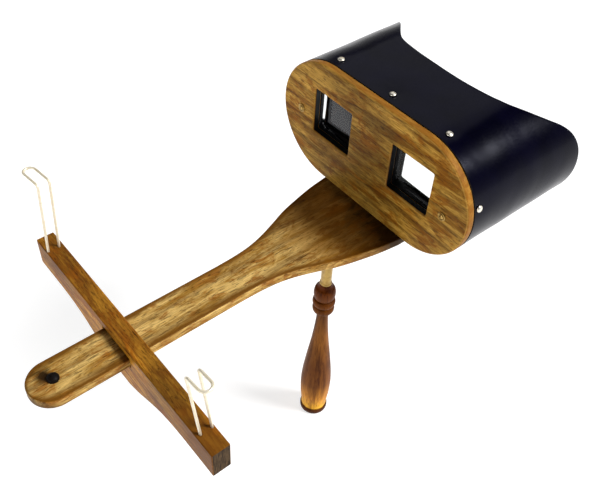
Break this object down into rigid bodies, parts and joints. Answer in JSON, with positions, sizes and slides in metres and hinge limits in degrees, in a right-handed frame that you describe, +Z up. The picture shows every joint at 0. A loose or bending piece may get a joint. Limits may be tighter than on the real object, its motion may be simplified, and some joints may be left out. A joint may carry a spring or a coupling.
{
  "type": "stereo viewer",
  "caption": "Hand-held stereo viewer with a leather eye hood, prismatic lenses in a round-ended face board, a beam with a sliding wire card carrier, and a folding turned handle.",
  "frame": {"origin": "centre of the handle's flat foot, which the viewer stands on", "axes": "+Z up along the handle, +Y towards the user's eyes, +X to the right of someone looking along +Y"},
  "size_m": [0.1891, 0.3422, 0.2984],
  "materials": {
    "wood": "oiled, open grain, golden brown with dark streaks",
    "bar_wood": "oiled, dark reddish brown",
    "grip_wood": "turned and polished, reddish brown",
    "black_wood": "painted matte black",
    "black_paint": "matte black",
    "leather": "smooth black leather with a soft sheen",
    "glass": "clear polished",
    "spring_steel": "blued, nearly black",
    "brass": "bright, lightly worn",
    "wire": "bright pale wire"
  },
  "bodies": {
    "viewer": {"face_board": "wood", "beam": "wood", "stop_pin": "bar_wood", "lens_block": "black_wood", "lens_retainer_left": "black_paint", "lens_retainer_right": "black_paint", "hood": "leather", "lens_left": "glass", "lens_right": "glass", "face_screw_left": "brass", "face_screw_right": "brass", "beam_screw_left": "brass", "beam_screw_right": "brass", "hinge_plate": "brass", "hinge_pin": "brass", "hinge_screw_front_left": "brass", "hinge_screw_front_right": "brass", "hinge_screw_rear_left": "brass", "hinge_screw_rear_right": "brass", "retainer_screw_left_lower": "brass", "retainer_screw_left_upper": "brass", "retainer_screw_right_lower": "brass", "retainer_screw_right_upper": "brass", "hood_tack_top_left": "brass", "hood_tack_top_middle": "brass", "hood_tack_top_right": "brass", "hood_tack_side_left": "brass", "hood_tack_side_right": "brass", "hood_tack_bottom_left": "brass", "hood_tack_bottom_right": "brass"},
    "card_carrier": {"card_bar": "bar_wood", "slide_spring": "spring_steel", "wire_holder_left": "wire", "wire_holder_right": "wire"},
    "handle": {"handle_stem": "brass", "handle_grip": "grip_wood"}
  },
  "joints": [
    {"name": "card_slide", "type": "slide", "parent": "viewer", "child": "card_carrier", "axis": [0, 1, 0], "range_m": [-0.034, 0.072]},
    {"name": "handle_fold", "type": "hinge", "parent": "viewer", "child": "handle", "pos_m": [0, 0, 0.186], "axis": [-1, 0, 0], "range_deg": [0, 80]}
  ]
}
